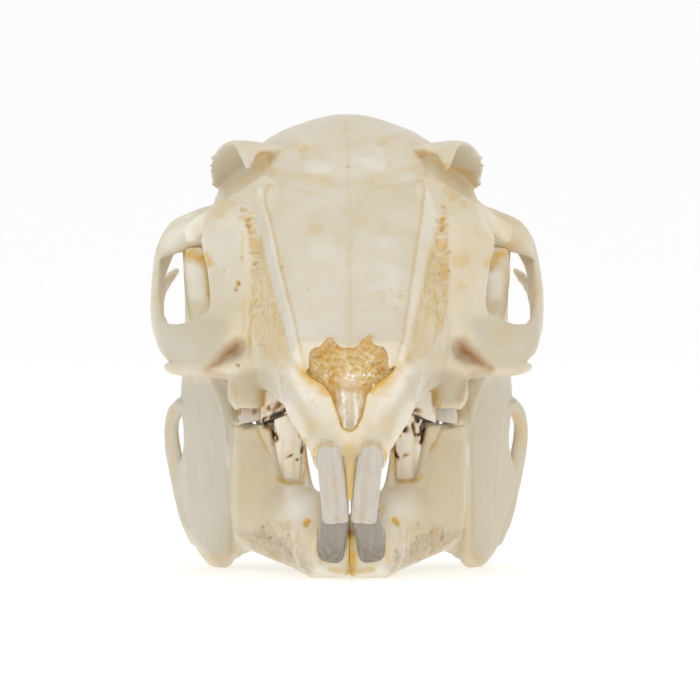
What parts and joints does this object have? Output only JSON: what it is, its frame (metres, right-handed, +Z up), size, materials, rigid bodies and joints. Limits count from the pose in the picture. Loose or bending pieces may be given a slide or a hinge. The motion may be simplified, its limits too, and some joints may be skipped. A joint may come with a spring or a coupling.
{
  "type": "rabbit skull",
  "caption": "Cleaned rabbit skull standing on its lower jaw, with cheek arches, sieve-like snout walls, chisel front teeth and rows of grinding cheek teeth.",
  "frame": {"origin": "on the surface that the skull stands on, under the middle of its box", "axes": "+Z up, -Y the way the animal looks, +X its left side"},
  "size_m": [0.0324, 0.0621, 0.0377],
  "materials": {
    "bone": "dry, faintly waxy bone with amber stains",
    "enamel": "glossy, lengthwise grooved",
    "grey_enamel": "glossy, stained grey"
  },
  "bodies": {
    "root": {"cranium": "bone", "left_jaw_bone": "bone", "left_upper_incisor": "enamel", "left_peg_incisor": "enamel", "left_lower_incisor": "grey_enamel", "left_upper_premolar_2": "enamel", "left_upper_premolar_3": "enamel", "left_upper_premolar_4": "enamel", "left_upper_molar_1": "enamel", "left_upper_molar_2": "enamel", "left_upper_molar_3": "enamel", "left_lower_premolar_3": "enamel", "left_lower_premolar_4": "enamel", "left_lower_molar_1": "enamel", "left_lower_molar_2": "enamel", "left_lower_molar_3": "enamel", "right_jaw_bone": "bone", "right_upper_incisor": "enamel", "right_peg_incisor": "enamel", "right_lower_incisor": "grey_enamel", "right_upper_premolar_2": "enamel", "right_upper_premolar_3": "enamel", "right_upper_premolar_4": "enamel", "right_upper_molar_1": "enamel", "right_upper_molar_2": "enamel", "right_upper_molar_3": "enamel", "right_lower_premolar_3": "enamel", "right_lower_premolar_4": "enamel", "right_lower_molar_1": "enamel", "right_lower_molar_2": "enamel", "right_lower_molar_3": "enamel"}
  },
  "joints": []
}
